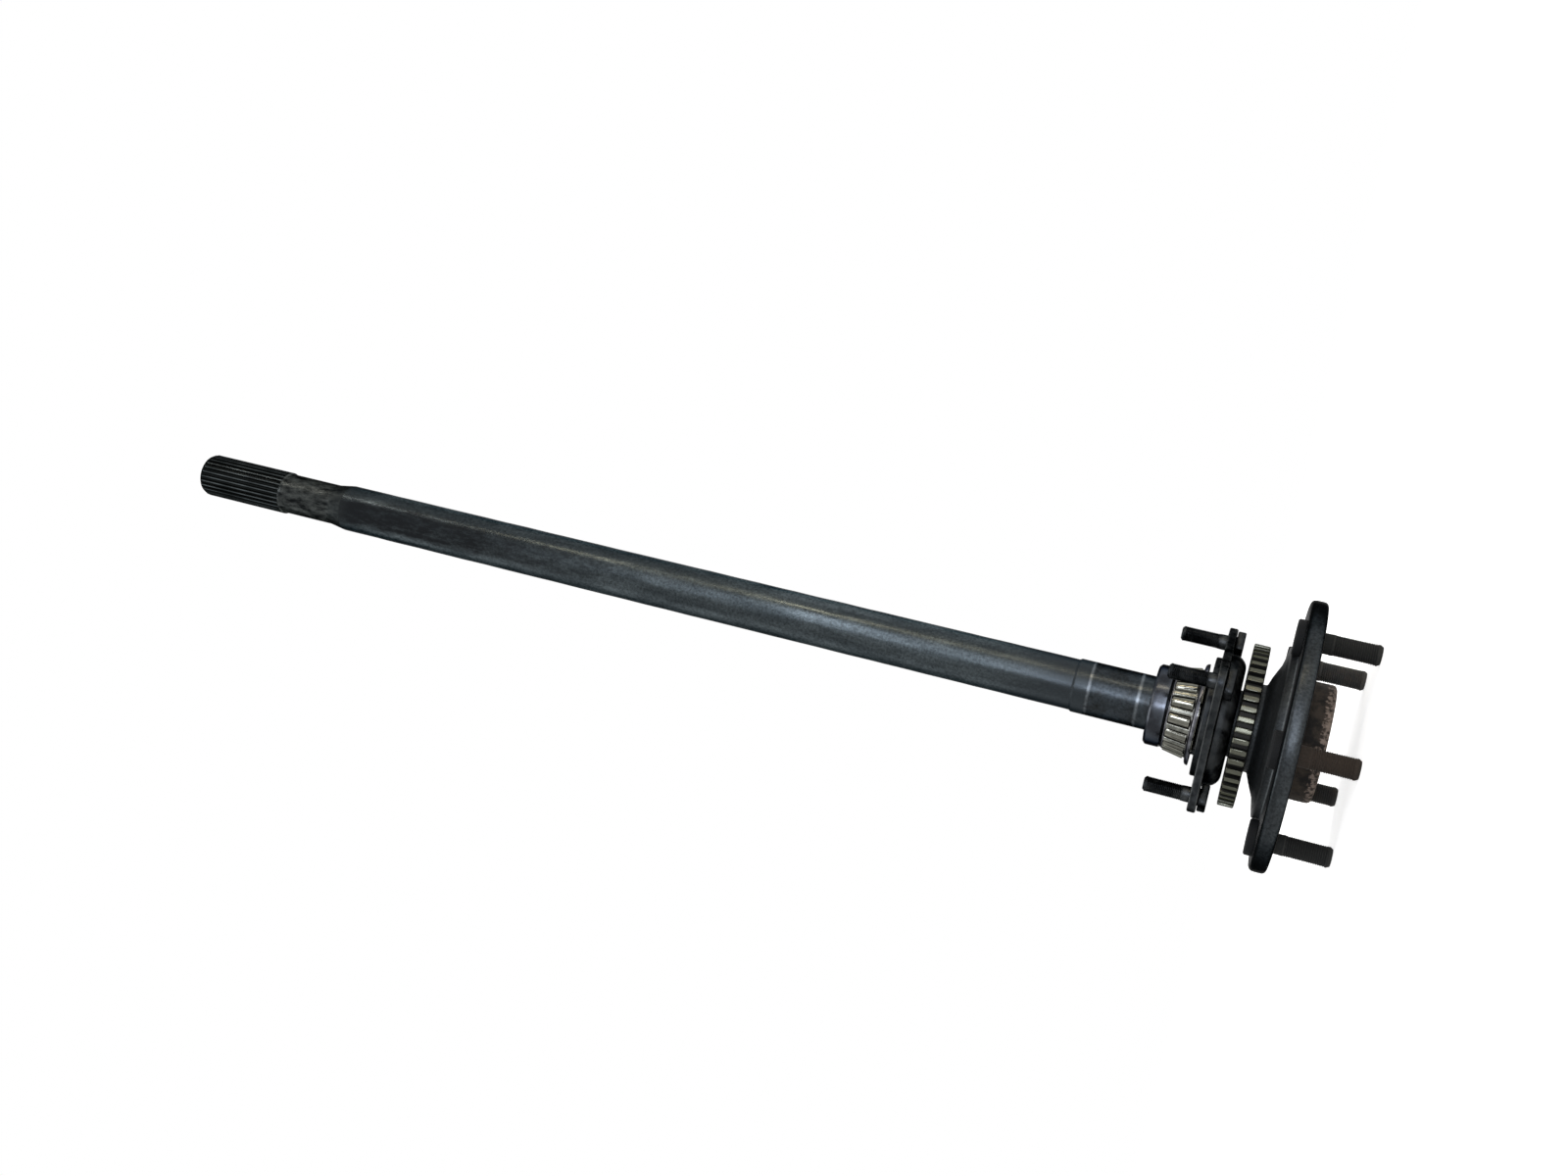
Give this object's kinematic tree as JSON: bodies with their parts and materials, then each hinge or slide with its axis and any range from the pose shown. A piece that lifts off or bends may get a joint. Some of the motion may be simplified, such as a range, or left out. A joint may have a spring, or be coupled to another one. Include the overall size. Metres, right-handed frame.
{
  "type": "rear axle shaft",
  "caption": "Rear axle shaft with splined end, wheel flange and studs, tone ring, tapered roller bearing, loose retainer plate with T-bolts, and retaining collar.",
  "frame": {"origin": "on the shaft's axis, level with the tips of the wheel studs, on which the part stands", "axes": "+Z along the shaft's axis towards its splined end; +X through the first wheel stud"},
  "size_m": [0.165, 0.165, 0.803],
  "materials": {
    "oiled_forged_steel": "dark grey forged steel with a film of oil",
    "rusty_steel": "brown surface rust over black steel",
    "machined_steel": "bare machined steel, dull",
    "black_steel": "black, oily",
    "bearing_steel": "polished bearing steel",
    "cage_steel": "pressed steel, oily",
    "nitrile_rubber": "black rubber"
  },
  "bodies": {
    "axle": {"axle_shaft": "oiled_forged_steel", "wheel_stud_1": "rusty_steel", "wheel_stud_2": "rusty_steel", "wheel_stud_3": "rusty_steel", "wheel_stud_4": "rusty_steel", "wheel_stud_5": "rusty_steel", "tone_ring": "machined_steel", "bearing_cone": "bearing_steel", "retaining_collar": "oiled_forged_steel"},
    "retainer": {"retainer_plate": "black_steel", "seal_case": "machined_steel", "seal_lip": "nitrile_rubber", "garter_spring": "bearing_steel", "t_bolt_1": "black_steel", "t_bolt_2": "black_steel", "t_bolt_3": "black_steel", "t_bolt_4": "black_steel"},
    "cage": {"roller_cage": "cage_steel"},
    "roller_01": {"roller_01": "bearing_steel"},
    "roller_02": {"roller_02": "bearing_steel"},
    "roller_03": {"roller_03": "bearing_steel"},
    "roller_04": {"roller_04": "bearing_steel"},
    "roller_05": {"roller_05": "bearing_steel"},
    "roller_06": {"roller_06": "bearing_steel"},
    "roller_07": {"roller_07": "bearing_steel"},
    "roller_08": {"roller_08": "bearing_steel"},
    "roller_09": {"roller_09": "bearing_steel"},
    "roller_10": {"roller_10": "bearing_steel"},
    "roller_11": {"roller_11": "bearing_steel"},
    "roller_12": {"roller_12": "bearing_steel"},
    "roller_13": {"roller_13": "bearing_steel"},
    "roller_14": {"roller_14": "bearing_steel"},
    "roller_15": {"roller_15": "bearing_steel"}
  },
  "joints": [
    {"name": "retainer_spin", "type": "hinge", "parent": "axle", "child": "retainer", "pos_m": [0, 0, 0.085], "axis": [0, 0, 1], "continuous": true},
    {"name": "cage_spin", "type": "hinge", "parent": "axle", "child": "cage", "pos_m": [0, 0, 0.094], "axis": [0, 0, 1], "continuous": true},
    {"name": "roller_01_spin", "type": "hinge", "parent": "cage", "child": "roller_01", "pos_m": [0.02182, 0.00734, 0.10037], "axis": [-0.1532, -0.0515, 0.9869], "continuous": true},
    {"name": "roller_02_spin", "type": "hinge", "parent": "cage", "child": "roller_02", "pos_m": [0.01695, 0.01558, 0.10037], "axis": [-0.119, -0.1094, 0.9869], "continuous": true},
    {"name": "roller_03_spin", "type": "hinge", "parent": "cage", "child": "roller_03", "pos_m": [0.00914, 0.02113, 0.10037], "axis": [-0.0642, -0.1483, 0.9869], "continuous": true},
    {"name": "roller_04_spin", "type": "hinge", "parent": "cage", "child": "roller_04", "pos_m": [-0.00024, 0.02302, 0.10037], "axis": [0.0017, -0.1616, 0.9869], "continuous": true},
    {"name": "roller_05_spin", "type": "hinge", "parent": "cage", "child": "roller_05", "pos_m": [-0.00958, 0.02093, 0.10037], "axis": [0.0673, -0.1469, 0.9869], "continuous": true},
    {"name": "roller_06_spin", "type": "hinge", "parent": "cage", "child": "roller_06", "pos_m": [-0.01727, 0.01523, 0.10037], "axis": [0.1212, -0.1069, 0.9869], "continuous": true},
    {"name": "roller_07_spin", "type": "hinge", "parent": "cage", "child": "roller_07", "pos_m": [-0.02197, 0.00689, 0.10037], "axis": [0.1542, -0.0483, 0.9869], "continuous": true},
    {"name": "roller_08_spin", "type": "hinge", "parent": "cage", "child": "roller_08", "pos_m": [-0.02287, -0.00265, 0.10037], "axis": [0.1605, 0.0186, 0.9869], "continuous": true},
    {"name": "roller_09_spin", "type": "hinge", "parent": "cage", "child": "roller_09", "pos_m": [-0.01982, -0.01172, 0.10037], "axis": [0.1391, 0.0823, 0.9869], "continuous": true},
    {"name": "roller_10_spin", "type": "hinge", "parent": "cage", "child": "roller_10", "pos_m": [-0.01334, -0.01877, 0.10037], "axis": [0.0936, 0.1317, 0.9869], "continuous": true},
    {"name": "roller_11_spin", "type": "hinge", "parent": "cage", "child": "roller_11", "pos_m": [-0.00455, -0.02257, 0.10037], "axis": [0.0319, 0.1584, 0.9869], "continuous": true},
    {"name": "roller_12_spin", "type": "hinge", "parent": "cage", "child": "roller_12", "pos_m": [0.00502, -0.02247, 0.10037], "axis": [-0.0353, 0.1577, 0.9869], "continuous": true},
    {"name": "roller_13_spin", "type": "hinge", "parent": "cage", "child": "roller_13", "pos_m": [0.01373, -0.01848, 0.10037], "axis": [-0.0964, 0.1297, 0.9869], "continuous": true},
    {"name": "roller_14_spin", "type": "hinge", "parent": "cage", "child": "roller_14", "pos_m": [0.02006, -0.0113, 0.10037], "axis": [-0.1408, 0.0793, 0.9869], "continuous": true},
    {"name": "roller_15_spin", "type": "hinge", "parent": "cage", "child": "roller_15", "pos_m": [0.02292, -0.00217, 0.10037], "axis": [-0.1609, 0.0152, 0.9869], "continuous": true}
  ],
  "couplings": [
    {"joint": "roller_01_spin", "follows": "cage_spin", "ratio": 4.6232},
    {"joint": "roller_02_spin", "follows": "cage_spin", "ratio": 4.6232},
    {"joint": "roller_03_spin", "follows": "cage_spin", "ratio": 4.6232},
    {"joint": "roller_04_spin", "follows": "cage_spin", "ratio": 4.6232},
    {"joint": "roller_05_spin", "follows": "cage_spin", "ratio": 4.6232},
    {"joint": "roller_06_spin", "follows": "cage_spin", "ratio": 4.6232},
    {"joint": "roller_07_spin", "follows": "cage_spin", "ratio": 4.6232},
    {"joint": "roller_08_spin", "follows": "cage_spin", "ratio": 4.6232},
    {"joint": "roller_09_spin", "follows": "cage_spin", "ratio": 4.6232},
    {"joint": "roller_10_spin", "follows": "cage_spin", "ratio": 4.6232},
    {"joint": "roller_11_spin", "follows": "cage_spin", "ratio": 4.6232},
    {"joint": "roller_12_spin", "follows": "cage_spin", "ratio": 4.6232},
    {"joint": "roller_13_spin", "follows": "cage_spin", "ratio": 4.6232},
    {"joint": "roller_14_spin", "follows": "cage_spin", "ratio": 4.6232},
    {"joint": "roller_15_spin", "follows": "cage_spin", "ratio": 4.6232}
  ]
}
